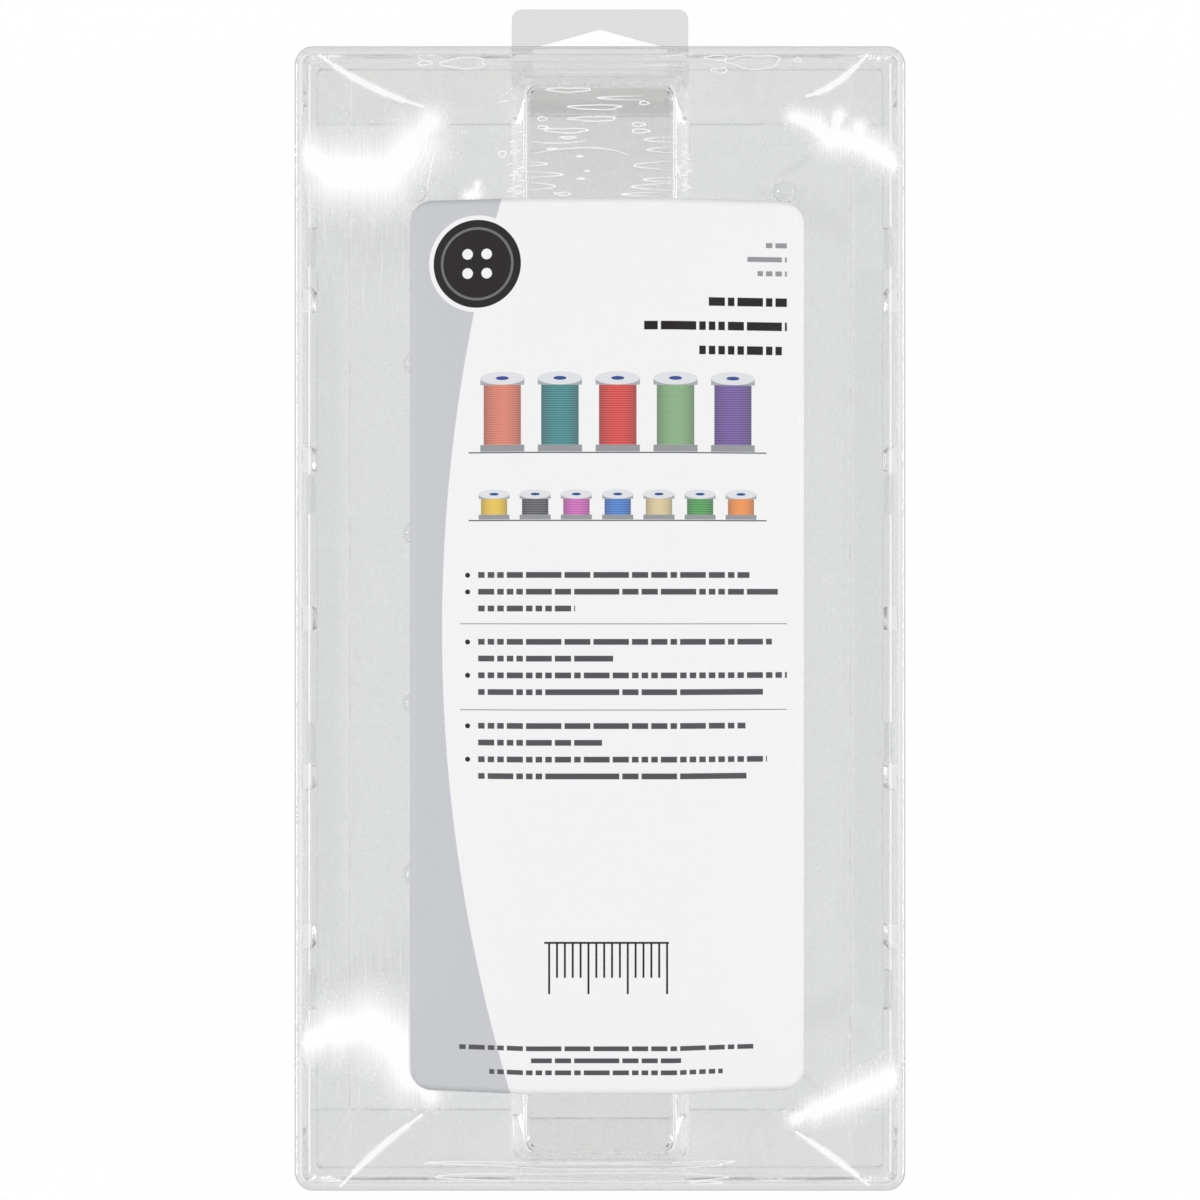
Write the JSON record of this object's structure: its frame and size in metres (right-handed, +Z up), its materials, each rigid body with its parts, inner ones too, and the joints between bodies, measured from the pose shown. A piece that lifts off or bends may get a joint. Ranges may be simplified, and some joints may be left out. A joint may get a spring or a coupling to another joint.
{
  "type": "thread spool storage box",
  "caption": "Clear tapered thread box with rows of upright spindles, thread slots along its long walls, a lift-off lid with a stacking ridge, a label on shrink film, and a folding hang tab.",
  "frame": {"origin": "on the table, under the middle of the tub", "axes": "+X to the right of the picture, +Y along the box to its hanging end, +Z up through the lid"},
  "size_m": [0.1222, 0.2456, 0.0769],
  "materials": {
    "tub_plastic": "clear, polished",
    "spindle_plastic": "clear, polished",
    "lid_plastic": "clear, polished",
    "film": "clear thin film",
    "label": "satin print",
    "tab_sheet": "clear sheet"
  },
  "bodies": {
    "tub": {"tub": "tub_plastic", "left_spindle_1": "spindle_plastic", "left_spindle_2": "spindle_plastic", "left_spindle_3": "spindle_plastic", "left_spindle_4": "spindle_plastic", "left_spindle_5": "spindle_plastic", "left_spindle_6": "spindle_plastic", "middle_spindle_1": "spindle_plastic", "middle_spindle_2": "spindle_plastic", "middle_spindle_3": "spindle_plastic", "middle_spindle_4": "spindle_plastic", "middle_spindle_5": "spindle_plastic", "right_spindle_1": "spindle_plastic", "right_spindle_2": "spindle_plastic", "right_spindle_3": "spindle_plastic", "right_spindle_4": "spindle_plastic", "right_spindle_5": "spindle_plastic", "right_spindle_6": "spindle_plastic", "hang_tab_foot": "tab_sheet"},
    "lid": {"lid": "lid_plastic", "shrink_film": "film", "label": "label"},
    "hang_tab": {"hang_tab_flap": "tab_sheet"}
  },
  "joints": [
    {"name": "lid_lift", "type": "slide", "parent": "tub", "child": "lid", "axis": [0, 0, 1], "range_m": [0, 0.12]},
    {"name": "hang_tab_fold", "type": "hinge", "parent": "tub", "child": "hang_tab", "pos_m": [0, 0.11088, 0.012], "axis": [1, 0, 0], "range_deg": [-30, 80], "stiffness_Nm_per_rad": 0.002}
  ]
}
